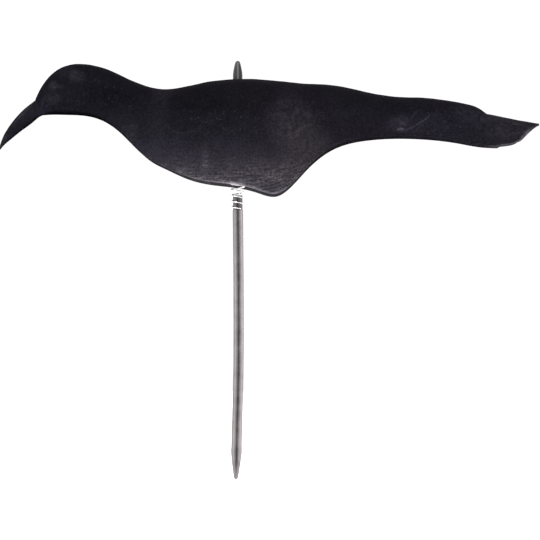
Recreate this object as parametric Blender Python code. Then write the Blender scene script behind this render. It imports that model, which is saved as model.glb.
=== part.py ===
# Crow decoy: a thin half shell of a crow, open underneath, on a ribbed ground stake with a coil spring.
# Metres, +Z up. The beak points to -X and the tail to +X. The origin is on the stake's axis at the
# ground line, where the pushed-in stake holds the decoy up.

import math

import bmesh
import bpy
import numpy as np
from mathutils import Vector

MM = 0.001

# All sizes below are in millimetres, and are turned into metres as each mesh is built.

# Clearance between neighbouring pieces.
GAP = 0.3

# The shell. Each outline is a list of (x, z) places.
WALL = 1.6
RIM_BEVEL = 1.1
BEAK_END = -170.3
WING_TIP = 207.0
TAIL_END = 251.4
BEAK_RIDGE = (
    (-200.2, 168.2), (-197.3, 176.0), (-194.0, 182.1), (-189.3, 188.5), (-182.2, 196.8), (-170.3, 207.0))
BACK_RIDGE = (
    (-169.7, 208.8), (-166.5, 215.1), (-159.0, 225.6), (-149.0, 233.5), (-132.0, 237.2), (-109.0, 232.3),
    (-82.0, 220.3), (-62.0, 216.1), (-45.0, 218.0), (-28.6, 221.4), (-17.0, 223.1), (6.0, 224.8),
    (31.6, 223.0), (54.0, 220.8), (73.0, 219.8), (111.9, 212.8), (131.0, 209.8), (152.0, 208.9),
    (171.6, 206.9), (192.1, 203.5), (200.1, 200.7), (207.0, 195.6))
TAIL_RIDGE = ((207.6, 195.3), (225.6, 191.7), (251.4, 187.1))
RIM = (
    (-199.4, 165.4), (-197.0, 168.5), (-192.2, 172.9), (-182.1, 181.2), (-172.1, 188.7), (-165.5, 193.9),
    (-161.0, 195.0), (-145.0, 195.3), (-133.0, 194.9), (-116.7, 191.1), (-103.4, 182.7), (-90.2, 170.1),
    (-77.0, 157.9), (-66.0, 151.7), (-57.0, 147.6), (-47.0, 143.2), (-29.7, 138.2), (-2.4, 134.7),
    (14.0, 131.0), (24.9, 127.6), (32.5, 127.5), (39.0, 130.7), (58.9, 150.7), (79.3, 166.5),
    (106.3, 174.2), (146.9, 175.7), (187.3, 171.4), (205.0, 168.3), (218.0, 167.6))

# Half the shell's width at its widest level, along the bird.
BEAK_HALF_WIDTH = ((-200.2, 0.9), (-196.5, 2.3), (-189.0, 4.1), (-170.3, 6.8))
HALF_WIDTH = (
    (-169.7, 8.6), (-164.0, 12.6), (-154.0, 16.6), (-140.0, 19.2), (-122.0, 20.6), (-105.0, 24.0),
    (-85.0, 31.5), (-70.0, 38.0), (-56.0, 43.4), (-35.0, 46.4), (0.0, 48.8), (30.0, 48.0), (60.0, 43.5),
    (95.0, 35.5), (135.0, 30.0), (180.0, 27.5), (206.4, 26.6), (208.2, 25.8), (251.4, 24.0))

# How far the arch of each section sweeps, in degrees: past 90 its sides tuck in below.
SWEEP = (
    (-200.2, 100.0), (-170.0, 116.0), (-150.0, 127.0), (-125.0, 127.0), (-95.0, 115.0), (-50.0, 111.0),
    (5.0, 113.0), (35.0, 118.0), (60.0, 108.0), (100.0, 94.0), (150.0, 86.0), (251.4, 80.0))

# Each section leans: its rim lies this far ahead of (+) or behind (-) its ridge.
LEAN = (
    (-200.2, 0.8), (-194.6, 5.0), (-188.0, 7.2), (-170.3, 6.6), (-150.0, 3.0), (-130.0, 0.0),
    (165.0, 0.0), (251.4, -33.4))

SQUARENESS = 2.15
TRAILING_SLANT = 0.6
SLANT_POWER = 0.75
CORNER_POWER = 18
ARCH_STEPS = 11

# Runs of sections along the bird: start, end and the number of sections in the run.
SECTION_RUNS = (
    (-200.2, -193.5, 5), (-190.5, -170.3, 5), (-169.7, -166.0, 3), (-163.0, -100.0, 14),
    (-93.0, -40.0, 8), (-30.0, 20.0, 6), (27.0, 62.0, 7), (70.0, 190.0, 11),
    (197.0, 206.6, 3), (208.2, 236.0, 5), (240.0, 251.4, 5))

# The stake and the pin have a cross section of four fins.
AXIS_X = -0.85
FIN_HALF_THICKNESS = 0.9
FIN_CHAMFER = 0.25
FIN_SHARE_OF_TIP = 0.75

STAKE_TURN = -36.0
STAKE_RADIUS = 5.0
STAKE_NECK_RADIUS = 3.5
STAKE_TOP = 127.3
STAKE_SHOULDER = 115.3
STAKE_POINT_START = -88.0
STAKE_TIP = -110.0
STAKE_BOW = (
    (-110.0, -2.3), (-83.0, -1.8), (-43.7, -0.75), (0.0, -0.1), (40.0, -0.1), (77.5, -0.35), (127.3, -0.85))

PIN_TURN = 7.0
PIN_RADIUS = 3.95
PIN_FOOT = 141.0
PIN_FOOT_RADIUS = 4.3
PIN_TIP = 239.8
PIN_NOSE_LENGTH = 12.0
NOSE_TAPER = 0.6
NOSE_BLUNTNESS = 24
COLLAR_RADIUS = 6.5
COLLAR_HEIGHT = 2.5
STOP_RADIUS = 5.8
STOP_HEIGHT = 2.0
HOLE_RADIUS = 4.3

# The spring is wound left-handed and opens out where it leaves the stake. Its lower end lies at
# SPRING_START, in degrees round from the tail towards the bird's right side.
WIRE_RADIUS = 0.6
SPRING_END = 116.2
SPRING_START = -54.0
SPRING_PITCH = 4.8
SPRING_TURNS = 10
SPRING_LOWER_RADIUS = 4.6
SPRING_UPPER_RADIUS = 5.35
SPRING_FLARE = (127.0, 134.0)
STEPS_PER_TURN = 12
WIRE_SIDES = 6


def smooth_curve(points):
    """A function through the given (x, value) points with a steady bend, as a thin lath would take."""
    xs = np.array([point[0] for point in points], dtype=float)
    ys = np.array([point[1] for point in points], dtype=float)
    spans = np.diff(xs)
    slopes = np.diff(ys) / spans
    count = len(xs)
    matrix = np.eye(count)
    right = np.zeros(count)
    for i in range(1, count - 1):
        matrix[i, i - 1] = spans[i - 1]
        matrix[i, i] = 2.0 * (spans[i - 1] + spans[i])
        matrix[i, i + 1] = spans[i]
        right[i] = 6.0 * (slopes[i] - slopes[i - 1])
    bends = np.linalg.solve(matrix, right)

    def value(x):
        i = int(np.clip(np.searchsorted(xs, x) - 1, 0, count - 2))
        ahead = xs[i + 1] - x
        past = x - xs[i]
        span = spans[i]
        line = (ys[i] * ahead + ys[i + 1] * past) / span
        bend = bends[i] * (ahead ** 3 / span - ahead * span) + bends[i + 1] * (past ** 3 / span - past * span)
        return float(line + bend / 6.0)

    return value


def steady_curve(points):
    """A function through the given (x, value) points that never rises or falls past them."""
    xs = [point[0] for point in points]
    ys = [point[1] for point in points]
    spans = [b - a for a, b in zip(xs, xs[1:])]
    slopes = [(b - a) / span for a, b, span in zip(ys, ys[1:], spans)]
    tangents = [slopes[0]]
    for before, after in zip(slopes, slopes[1:]):
        same_way = before * after > 0.0
        tangents.append(2.0 * before * after / (before + after) if same_way else 0.0)
    tangents.append(slopes[-1])

    def value(x):
        i = int(np.clip(np.searchsorted(xs, x) - 1, 0, len(spans) - 1))
        u = (x - xs[i]) / spans[i]
        start = ys[i] * (1.0 + 2.0 * u) * (1.0 - u) ** 2 + ys[i + 1] * u * u * (3.0 - 2.0 * u)
        turn = tangents[i] * u * (1.0 - u) ** 2 - tangents[i + 1] * u * u * (1.0 - u)
        return float(start + spans[i] * turn)

    return value


beak_ridge = smooth_curve(BEAK_RIDGE)
back_ridge = smooth_curve(BACK_RIDGE)
tail_ridge = smooth_curve(TAIL_RIDGE)
rim_height = smooth_curve(RIM)
beak_half_width = steady_curve(BEAK_HALF_WIDTH)
body_half_width = steady_curve(HALF_WIDTH)
sweep_angle = steady_curve(SWEEP)
lean_length = steady_curve(LEAN)
bow_offset = smooth_curve(STAKE_BOW)


def ridge_height(x):
    """Height of the top outline at x."""
    if x <= BEAK_END:
        return beak_ridge(x)
    if x <= WING_TIP:
        return back_ridge(x)
    return tail_ridge(x)


def half_width(x):
    """Half the width of the section whose ridge is at x."""
    if x <= BEAK_END:
        return beak_half_width(x)
    return body_half_width(x)


def wall_at(x):
    """Wall thickness, thinned where the beak is too slim for the whole wall."""
    return min(WALL, 0.34 * half_width(x))


def arch_shares(t, sweep):
    """Sideways and downward shares of an arch at t, which runs from 0 at the ridge to 1 at the rim."""
    power = 2.0 / SQUARENESS

    def drop(angle):
        level = math.cos(angle)
        return 1.0 - math.copysign(abs(level) ** power, level)

    return math.sin(t * sweep) ** power, drop(t * sweep) / drop(sweep)


def trailing_run(drop):
    """Share of a backward lean reached at a drop: the tail's end slants, then turns in at its corner."""
    return TRAILING_SLANT * drop ** SLANT_POWER + (1.0 - TRAILING_SLANT) * drop ** CORNER_POWER


def shell_point(x, t):
    """A point of the shell's outer skin: t is 0 at the ridge, 1 at the far rim and -1 at the near rim."""
    side, drop = arch_shares(abs(t), math.radians(sweep_angle(x)))
    lean = lean_length(x)
    run = drop if lean > 0.0 else trailing_run(drop)
    top = ridge_height(x)
    bevel = RIM_BEVEL * wall_at(x) / WALL
    bottom = rim_height(x + lean) + bevel
    return Vector((x + lean * run, math.copysign(half_width(x) * side, t), top + (bottom - top) * drop))


def shell_normal(x, t):
    """Outward direction of the outer skin, from short steps along and across it."""
    step = 0.2
    low = max(x - step, SECTION_RUNS[0][0])
    high = min(x + step, TAIL_END)
    if x <= BEAK_END < high:
        high = BEAK_END
    if low <= BEAK_END < x:
        low = x
    along = shell_point(high, t) - shell_point(low, t)
    across = shell_point(x, min(t + 0.01, 1.0)) - shell_point(x, max(t - 0.01, -1.0))
    return along.cross(across).normalized()


def inner_point(x, t):
    """The point of the inner skin behind an outer one."""
    wall = wall_at(x)
    point = shell_point(x, t) - wall * shell_normal(x, t)
    if abs(t) == 1.0:
        point.z = shell_point(x, t).z - RIM_BEVEL * wall / WALL
    return point


def section_places():
    """Ridge positions of all the sections, from the beak's tip to the tail's end."""
    places = []
    for start, end, count in SECTION_RUNS:
        for i in range(count):
            places.append(start + (end - start) * i / (count - 1))
    return places


def inner_height_near_pin(radius):
    """Lowest height of the inner skin's top within the given distance of the pin's axis."""
    heights = []
    for x in (AXIS_X - radius, AXIS_X, AXIS_X + radius):
        for t in np.linspace(0.0, 0.5, 201):
            point = inner_point(x, float(t))
            if point.y <= radius:
                heights.append(point.z)
    return min(heights)


def new_object(name, mesh_builder, material):
    """An object of the given name made from what mesh_builder leaves in a bmesh, with metre sizes."""
    bm = bmesh.new()
    mesh_builder(bm)
    bmesh.ops.recalc_face_normals(bm, faces=bm.faces)
    mesh = bpy.data.meshes.new(name)
    bm.to_mesh(mesh)
    bm.free()
    obj = bpy.data.objects.new(name, mesh)
    bpy.context.scene.collection.objects.link(obj)
    if material is not None:
        mesh.materials.append(material)
    mesh.shade_smooth()
    mesh.set_sharp_from_angle(angle=math.radians(35.0))
    return obj


def new_material(name, colour, roughness, metallic=0.0):
    """A plain Principled material."""
    material = bpy.data.materials.new(name)
    material.use_nodes = True
    shader = material.node_tree.nodes["Principled BSDF"]
    shader.inputs["Base Color"].default_value = (*colour, 1.0)
    shader.inputs["Roughness"].default_value = roughness
    shader.inputs["Metallic"].default_value = metallic
    return material


def bridge_rings(bm, rings, close=True):
    """Quads between neighbouring rings of points; close joins the last point of a ring to its first."""
    count = len(rings[0])
    last = count if close else count - 1
    for ring, following in zip(rings, rings[1:]):
        for j in range(last):
            k = (j + 1) % count
            bm.faces.new((ring[j], ring[k], following[k], following[j]))


def build_shell(bm):
    """The half shell: an outer and an inner skin joined along the rim and at both ends."""
    ts = [j / ARCH_STEPS for j in range(-ARCH_STEPS, ARCH_STEPS + 1)]
    rings = []
    for x in section_places():
        outer = [shell_point(x, t) for t in ts]
        inner = [inner_point(x, t) for t in reversed(ts)]
        rings.append([bm.verts.new(point * MM) for point in outer + inner])
    bridge_rings(bm, rings)
    count = len(ts)
    for ring in (rings[0], rings[-1]):
        for j in range(count - 1):
            bm.faces.new((ring[j], ring[j + 1], ring[2 * count - 2 - j], ring[2 * count - 1 - j]))


def build_hole_cutter(bm):
    """An upright round bar, to cut the pin's hole through the back."""
    bmesh.ops.create_cone(bm, cap_ends=True, segments=28, radius1=HOLE_RADIUS * MM, radius2=HOLE_RADIUS * MM,
                          depth=30.0 * MM)
    bmesh.ops.translate(bm, verts=bm.verts, vec=(AXIS_X * MM, 0.0, ridge_height(AXIS_X) * MM))


def finned_ring(bm, centre_x, z, radius, turn):
    """One level of a four-finned bar."""
    half = min(FIN_HALF_THICKNESS, FIN_SHARE_OF_TIP * radius)
    chamfer = min(FIN_CHAMFER, 0.3 * half)
    outline = (
        (half, -half), (radius - chamfer, -half), (radius, chamfer - half), (radius, half - chamfer),
        (radius - chamfer, half))
    ring = []
    for fin in range(4):
        angle = math.radians(turn + 90.0 * fin)
        for along, across in outline:
            x = centre_x + along * math.cos(angle) - across * math.sin(angle)
            y = along * math.sin(angle) + across * math.cos(angle)
            ring.append(bm.verts.new((x * MM, y * MM, z * MM)))
    return ring


def build_finned_bar(bm, levels, turn):
    """A four-finned bar through (centre x, height, radius) levels, capped at both ends."""
    rings = [finned_ring(bm, x, z, radius, turn) for x, z, radius in levels]
    bridge_rings(bm, rings)
    for ring in (rings[0], rings[-1]):
        centre = sum((vert.co for vert in ring), Vector()) / len(ring)
        middle = bm.verts.new(centre)
        for j in range(len(ring)):
            bm.faces.new((ring[j], ring[(j + 1) % len(ring)], middle))


def build_stake(bm):
    """The ground stake: point, slightly bowed shaft, shoulder and the neck that the spring grips."""
    profile = [
        (STAKE_TIP, 0.8), (STAKE_TIP + 0.6, 1.25), (STAKE_TIP + 1.8, 1.8), (-98.0, 3.7),
        (STAKE_POINT_START, STAKE_RADIUS + 0.2), (STAKE_POINT_START + 3.0, STAKE_RADIUS + 0.2),
        (STAKE_POINT_START + 5.5, STAKE_RADIUS)]
    profile += [(z, STAKE_RADIUS) for z in (-60.0, -35.0, -10.0, 15.0, 40.0, 65.0, 90.0)]
    profile += [
        (STAKE_SHOULDER - 0.4, STAKE_RADIUS), (STAKE_SHOULDER, STAKE_RADIUS - 0.3),
        (STAKE_SHOULDER + 0.1, STAKE_NECK_RADIUS), (STAKE_TOP - 0.5, STAKE_NECK_RADIUS),
        (STAKE_TOP, STAKE_NECK_RADIUS - 0.4)]
    build_finned_bar(bm, [(bow_offset(z), z, radius) for z, radius in profile], STAKE_TURN)


def nose_radius(share):
    """Radius of the pin's nose, from its start at 0 to its blunt tip at 1."""
    return PIN_RADIUS * (1.0 - NOSE_TAPER * share ** 1.5) * (1.0 - share ** NOSE_BLUNTNESS) ** 0.5


def build_pin(bm):
    """The upper pin: foot in the spring, stop, shaft, collar under the back, blunt pointed nose."""
    stop = SPRING_END + SPRING_PITCH * SPRING_TURNS + WIRE_RADIUS + GAP
    collar = inner_height_near_pin(COLLAR_RADIUS) - GAP
    profile = [
        (PIN_FOOT, PIN_FOOT_RADIUS - 0.5), (PIN_FOOT + 0.6, PIN_FOOT_RADIUS), (stop, PIN_FOOT_RADIUS),
        (stop + 0.1, STOP_RADIUS), (stop + STOP_HEIGHT, STOP_RADIUS), (stop + STOP_HEIGHT + 1.5, PIN_RADIUS),
        (collar - COLLAR_HEIGHT - 2.0, PIN_RADIUS), (collar - COLLAR_HEIGHT, COLLAR_RADIUS),
        (collar, COLLAR_RADIUS), (collar + 0.1, PIN_RADIUS)]
    steps = 8
    for i in range(steps):
        share = i / steps
        height = PIN_TIP - PIN_NOSE_LENGTH * (1.0 - share)
        profile.append((height, nose_radius(share)))
    profile.append((PIN_TIP - 0.5, 1.45))
    profile.append((PIN_TIP, 0.6))
    build_finned_bar(bm, [(AXIS_X, z, radius) for z, radius in profile], PIN_TURN)


def spring_radius(z):
    """Radius of the coil's centre line at a height."""
    low, high = SPRING_FLARE
    share = min(max((z - low) / (high - low), 0.0), 1.0)
    share = share * share * (3.0 - 2.0 * share)
    return SPRING_LOWER_RADIUS + share * (SPRING_UPPER_RADIUS - SPRING_LOWER_RADIUS)


def build_spring(bm):
    """The coil: a round wire along a left-handed helix, capped at both ends."""
    steps = SPRING_TURNS * STEPS_PER_TURN
    path = []
    for i in range(steps + 1):
        turns = i / STEPS_PER_TURN
        z = SPRING_END + SPRING_PITCH * turns
        angle = math.radians(SPRING_START) - 2.0 * math.pi * turns
        radius = spring_radius(z)
        path.append(Vector((AXIS_X + radius * math.cos(angle), radius * math.sin(angle), z)))
    rings = []
    for i, point in enumerate(path):
        along = (path[min(i + 1, steps)] - path[max(i - 1, 0)]).normalized()
        outward = Vector((point.x - AXIS_X, point.y, 0.0)).normalized()
        upward = along.cross(outward).normalized()
        outward = upward.cross(along).normalized()
        ring = []
        for j in range(WIRE_SIDES):
            turn = 2.0 * math.pi * j / WIRE_SIDES
            offset = outward * math.cos(turn) + upward * math.sin(turn)
            ring.append(bm.verts.new((point + WIRE_RADIUS * offset) * MM))
        rings.append(ring)
    bridge_rings(bm, rings)
    bm.faces.new(rings[0])
    bm.faces.new(rings[-1])


def main():
    for obj in list(bpy.data.objects):
        bpy.data.objects.remove(obj)

    flock = new_material("flocked_black_plastic", (0.012, 0.011, 0.014), 0.95)
    grey_plastic = new_material("grey_plastic", (0.22, 0.20, 0.20), 0.5)
    steel = new_material("bright_steel", (0.75, 0.74, 0.73), 0.25, metallic=1.0)

    shell = new_object("crow_shell", build_shell, flock)
    cutter = new_object("pin_hole_cutter", build_hole_cutter, None)
    cutter.hide_render = True
    cutter.display_type = "WIRE"
    hole = shell.modifiers.new("pin_hole", "BOOLEAN")
    hole.operation = "DIFFERENCE"
    hole.solver = "EXACT"
    hole.object = cutter

    new_object("top_pin", build_pin, grey_plastic)
    new_object("spring", build_spring, steel)
    new_object("stake", build_stake, grey_plastic)


main()
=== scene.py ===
import math

import bmesh
import bpy
import numpy as np
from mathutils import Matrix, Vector, noise


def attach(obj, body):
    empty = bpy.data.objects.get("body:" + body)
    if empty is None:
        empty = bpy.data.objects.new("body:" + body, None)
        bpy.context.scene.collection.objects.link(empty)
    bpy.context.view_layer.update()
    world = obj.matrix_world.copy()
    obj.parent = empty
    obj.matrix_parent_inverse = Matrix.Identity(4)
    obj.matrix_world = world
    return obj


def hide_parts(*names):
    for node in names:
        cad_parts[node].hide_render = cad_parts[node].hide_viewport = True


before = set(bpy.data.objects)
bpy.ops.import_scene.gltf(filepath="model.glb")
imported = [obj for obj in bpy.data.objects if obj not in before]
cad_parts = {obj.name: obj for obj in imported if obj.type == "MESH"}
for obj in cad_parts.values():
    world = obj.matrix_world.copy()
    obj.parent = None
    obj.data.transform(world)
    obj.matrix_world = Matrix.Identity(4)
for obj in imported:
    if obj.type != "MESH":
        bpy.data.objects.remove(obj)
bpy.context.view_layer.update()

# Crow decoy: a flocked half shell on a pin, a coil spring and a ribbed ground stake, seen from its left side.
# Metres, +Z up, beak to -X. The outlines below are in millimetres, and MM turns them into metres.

MM = 0.001

# The shell's outlines, as (x, z) places, and its widths, sweep and lean along the bird.
WALL = 1.6
THIN_WALL_SHARE = 0.34
RIM_BEVEL = 1.1
BEAK_END = -170.3
WING_TIP = 207.0
TAIL_END = 251.4
BEAK_RIDGE = (
    (-200.2, 168.2), (-197.3, 176.0), (-194.0, 182.1), (-189.3, 188.5), (-182.2, 196.8), (-170.3, 207.0))
BACK_RIDGE = (
    (-169.7, 208.8), (-166.5, 215.1), (-159.0, 225.6), (-149.0, 233.5), (-132.0, 237.2), (-109.0, 232.3),
    (-82.0, 220.3), (-62.0, 216.1), (-45.0, 218.0), (-28.6, 221.4), (-17.0, 223.1), (6.0, 224.8),
    (31.6, 223.0), (54.0, 220.8), (73.0, 219.8), (111.9, 212.8), (131.0, 209.8), (152.0, 208.9),
    (171.6, 206.9), (192.1, 203.5), (200.1, 200.7), (207.0, 195.6))
TAIL_RIDGE = ((207.6, 195.3), (225.6, 191.7), (251.4, 187.1))
RIM = (
    (-199.4, 165.4), (-197.0, 168.5), (-192.2, 172.9), (-182.1, 181.2), (-172.1, 188.7), (-165.5, 193.9),
    (-161.0, 195.0), (-145.0, 195.3), (-133.0, 194.9), (-116.7, 191.1), (-103.4, 182.7), (-90.2, 170.1),
    (-77.0, 157.9), (-66.0, 151.7), (-57.0, 147.6), (-47.0, 143.2), (-29.7, 138.2), (-2.4, 134.7),
    (14.0, 131.0), (24.9, 127.6), (32.5, 127.5), (39.0, 130.7), (58.9, 150.7), (79.3, 166.5),
    (106.3, 174.2), (146.9, 175.7), (187.3, 171.4), (205.0, 168.3), (218.0, 167.6))
BEAK_HALF_WIDTH = ((-200.2, 0.9), (-196.5, 2.3), (-189.0, 4.1), (-170.3, 6.8))
HALF_WIDTH = (
    (-169.7, 8.6), (-164.0, 12.6), (-154.0, 16.6), (-140.0, 19.2), (-122.0, 20.6), (-105.0, 24.0),
    (-85.0, 31.5), (-70.0, 38.0), (-56.0, 43.4), (-35.0, 46.4), (0.0, 48.8), (30.0, 48.0), (60.0, 43.5),
    (95.0, 35.5), (135.0, 30.0), (180.0, 27.5), (206.4, 26.6), (208.2, 25.8), (251.4, 24.0))
SWEEP = (
    (-200.2, 100.0), (-170.0, 116.0), (-150.0, 127.0), (-125.0, 127.0), (-95.0, 115.0), (-50.0, 111.0),
    (5.0, 113.0), (35.0, 118.0), (60.0, 108.0), (100.0, 94.0), (150.0, 86.0), (251.4, 80.0))
LEAN = (
    (-200.2, 0.8), (-194.6, 5.0), (-188.0, 7.2), (-170.3, 6.6), (-150.0, 3.0), (-130.0, 0.0),
    (165.0, 0.0), (251.4, -33.4))
SQUARENESS = 2.15
TRAILING_SLANT = 0.6
SLANT_POWER = 0.75
CORNER_POWER = 18

# Runs of sections along the bird: start, end and the number of sections, closest where the relief is finest.
SECTION_RUNS = (
    (-200.2, -170.3, 34), (-169.7, -158.0, 20), (-157.0, 128.0, 250), (128.7, 164.0, 55),
    (165.0, 206.4, 44), (207.0, 251.4, 56))
ARCH_STEPS = 74
INNER_STEPS = 20
INNER_CROWDING = 1.6
EDGE_STEPS = 3
SHARP_ANGLE = 40.0

# The shell's materials, in the order of its material slots.
FLOCK, BEAK, CUT_EDGE, INNER_SIDE = range(4)

# The stake and the pin.
AXIS_X = -0.85
STAKE_TURN = -36.0
STAKE_RADIUS = 5.0
STAKE_NECK_RADIUS = 4.5
STAKE_TOP = 127.3
STAKE_SHOULDER = 115.3
STAKE_POINT_START = -88.0
STAKE_TIP = -110.0
POINT_FLARE = 0.2
STAKE_BOW = (
    (-110.0, -2.3), (-83.0, -1.8), (-43.7, -0.75), (0.0, -0.1), (40.0, -0.1), (77.5, -0.35), (127.3, -0.85))
FIN_HALF_THICKNESS = 0.9
FIN_ROUNDING = 0.45
FIN_FILLET = 0.5
LEVEL_STEP = 2.0
PIN_TURN = 7.0
PIN_RADIUS = 3.95
PIN_FOOT = 141.0
PIN_FOOT_RADIUS = 4.3
PIN_TIP = 239.8
PIN_NOSE_LENGTH = 12.0
NOSE_TAPER = 0.6
NOSE_BLUNTNESS = 24
COLLAR_RADIUS = 6.5
COLLAR_HEIGHT = 2.5
STOP_RADIUS = 5.8
STOP_HEIGHT = 2.0
HOLE_RADIUS = 4.3
HOLE_SIDES = 40
CUTTER_LENGTH = 30.0
GAP = 0.3

# Paleness of the fins, from 0 in a groove to 1 on a crest: the dark grooves are painted shade. It starts and
# is full at shares of the radius.
GROOVE_DEPTH = 0.2
CREST_START = 0.95
CAP_CREST = 0.5

# What takes it away: painted shade on the side towards the beak, the shaded neck, and soil on the stake's
# point.
SHADED_SHARE = 0.42
SHADED_SIDE = (0.2, 0.7)
NECK_SHARE = 0.45
POINT_SOIL = 0.38
POINT_SOIL_DROP = 4.0
POINT_SOIL_RUN = 5.0

# The spring.
WIRE_RADIUS = 0.6
SPRING_END = 116.2
SPRING_START = -54.0
SPRING_PITCH = 4.8
SPRING_TURNS = 10
SPRING_LOWER_RADIUS = 4.6
SPRING_UPPER_RADIUS = 5.35
SPRING_FLARE = (127.0, 134.0)
STEPS_PER_TURN = 48
WIRE_SIDES = 12

# Display tones, from 0 to 255. The flocking's goes by height, the cut edge's and the inner side's by x. The
# flocking is dark on top and pale on the belly: partly its own colour, partly painted light from the floor
# below.
TONE_RANGE = (8.0, 240.0)
TONE_BY_HEIGHT = (
    (120.0, 72.0), (127.0, 70.0), (134.6, 68.0), (142.8, 63.0), (151.0, 53.0), (159.0, 43.0), (167.3, 36.5),
    (175.7, 31.0), (183.6, 28.5), (192.0, 26.5), (200.0, 24.5), (208.0, 25.0), (245.0, 26.0))
# The cut edge is pale under the belly and the tail's end: partly wear, partly painted light from below
# catching the rim's bevel.
RIM_TONE = (
    (-201.0, 15.0), (-172.0, 15.0), (-164.0, 34.0), (-157.0, 12.0), (-100.0, 12.0), (-80.0, 40.0),
    (-57.0, 70.0), (-32.0, 112.0), (-10.0, 130.0), (9.0, 146.0), (20.0, 126.0), (30.0, 122.0), (47.0, 90.0),
    (60.0, 64.0), (76.0, 50.0), (93.0, 36.0), (118.0, 28.0), (208.0, 32.0), (217.0, 62.0), (223.0, 92.0),
    (252.0, 92.0))
# The inner side's paler tone from the breast back and at the tail's corner is painted light on the far wall
# seen under the near rim.
INSIDE_TONE = (
    (-201.0, 16.0), (-100.0, 16.0), (-60.0, 48.0), (-30.0, 48.0), (50.0, 48.0), (90.0, 50.0), (204.0, 50.0),
    (216.0, 96.0), (252.0, 100.0))
BEAK_TONE = 26.0

# Pale bands, in millimetres: outside and inside along the rim, and along the tail's end. Outside they are
# partly wear and partly painted light from below; inside they are painted light on the far wall seen under
# the near rim.
RIM_BAND = 1.1
RIM_BAND_SHARE = 0.55
INNER_BAND = 1.85
INNER_BAND_POWER = 6
END_BAND = 2.2
END_TONE = 98.0

# The tail end's band fades upwards between these heights and loses this share of its strength.
END_FADE = (178.5, 184.0)
END_FADE_SHARE = 0.7

# A painted glint on the near rim beside the spring's top turn: x, z, half length, half height and change of
# tone.
SPRING_GLINT = (-3.4, 136.5, 3.6, 6.0, 100.0)

# Lumps in the patches of wear and painted light: their size, their strength and their seed, in the flocking
# and along the edges.
MOTTLING = (3.4, 0.45, 4)
RAGGEDNESS = (2.6, 0.45, 5)
RAGGED_SHARE = 0.4

# Spots of the flocking, some rubbed pale, some painted light and some painted shade: x, z, half length, half
# height and change of tone.
WORN_LIT_AND_SHADED_SPOTS = (
    (-134.0, 226.0, 6.0, 4.5, 13.0), (-142.0, 230.5, 8.0, 5.0, 7.0), (-154.0, 218.0, 3.5, 4.0, 13.0),
    (-148.0, 217.0, 6.0, 1.6, 8.0), (-153.0, 207.0, 6.0, 4.5, 8.0), (-109.0, 211.0, 19.0, 11.0, -5.0),
    (-89.0, 180.0, 6.0, 9.0, 7.0), (-66.0, 198.0, 9.0, 26.0, 4.0), (-62.0, 212.0, 8.0, 6.0, 5.0),
    (41.0, 188.0, 17.0, 20.0, 14.0), (60.0, 172.0, 15.0, 12.0, 11.0), (150.0, 186.0, 32.0, 9.0, 6.0),
    (133.0, 186.5, 8.0, 6.0, 8.0), (-27.0, 157.0, 3.0, 10.0, 10.0), (224.0, 186.0, 24.0, 12.0, 13.0),
    (-103.0, 219.0, 20.0, 5.0, 3.0), (90.0, 200.0, 34.0, 14.0, 4.0), (198.0, 196.0, 18.0, 9.0, 12.0),
    (61.0, 193.0, 8.0, 6.0, 5.0), (-32.0, 206.0, 18.0, 13.0, -3.0), (28.0, 130.0, 13.0, 7.0, -8.0),
    (10.0, 141.0, 8.0, 4.0, -5.0), (28.0, 142.5, 8.0, 4.0, 5.0), (-24.0, 145.0, 8.0, 4.0, -6.0),
    (150.0, 205.0, 20.0, 5.0, 4.0), (42.0, 213.0, 12.0, 7.0, 4.0), (48.0, 156.0, 11.0, 9.0, 6.0),
    (-197.5, 171.5, 3.5, 6.0, 16.0), (-160.0, 204.0, 4.0, 10.0, 4.0), (172.0, 199.0, 14.0, 6.0, 4.0))
SPOT_SHARPNESS = 0.7

# The flocking's streaks are level on the belly. They bend upwards behind it, and rise ahead of it too.
STREAK_LIFT_START = 5.0
STREAK_LIFT_RUN = 60.0
STREAK_BEND = 0.005
STREAK_SLOPE = 0.6
BREAST_LIFT_START = -45.0
BREAST_SLOPE = 0.25
SIDE_SHIFT = 40.0

# How much more blue than green the surface is, by display tone, and where it is bluer (+) or less so (-).
BLUE_BY_TONE = ((8.0, 1.41), (30.0, 1.39), (45.0, 1.33), (60.0, 1.22), (75.0, 1.16), (170.0, 1.10))
BLUE_SPOTS = (
    (-11.0, 212.0, 46.0, 17.0, -0.10), (-133.0, 215.0, 26.0, 14.0, -0.03), (-32.0, 165.0, 42.0, 17.0, 0.04),
    (57.0, 172.0, 28.0, 24.0, -0.08), (168.0, 190.0, 44.0, 14.0, 0.09), (228.0, 183.0, 22.0, 10.0, -0.04),
    (37.0, 203.0, 9.0, 13.0, 0.08), (95.0, 205.0, 28.0, 14.0, -0.06), (-187.5, 184.0, 4.0, 6.0, 0.12),
    (-164.0, 197.0, 6.0, 6.0, 0.10), (-150.0, 194.5, 22.0, 2.5, 0.25), (134.0, 179.0, 10.0, 5.0, 0.06))

# How much more red than green the surface is, with its warmer (+) and cooler (-) places.
RED = 1.075
RED_SPOTS = (
    (45.0, 166.0, 30.0, 34.0, 0.08), (25.0, 205.0, 26.0, 18.0, 0.02), (-130.0, 212.0, 40.0, 20.0, -0.03),
    (228.0, 184.0, 24.0, 14.0, 0.05), (130.0, 180.0, 40.0, 9.0, 0.06), (-24.0, 154.0, 46.0, 17.0, 0.06),
    (192.0, 198.0, 26.0, 9.0, 0.04), (160.0, 199.0, 10.0, 6.0, 0.05), (20.0, 146.0, 24.0, 12.0, 0.03))

# Where more lint clings to the flocking.
LINT = 0.3
LINT_SPOTS = (
    (-17.0, 186.0, 32.0, 13.0, 0.8), (176.0, 188.0, 36.0, 12.0, 0.7), (45.0, 196.0, 30.0, 18.0, 0.5),
    (-105.0, 208.0, 24.0, 14.0, 0.4), (231.0, 183.0, 15.0, 8.0, 0.5))

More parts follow.
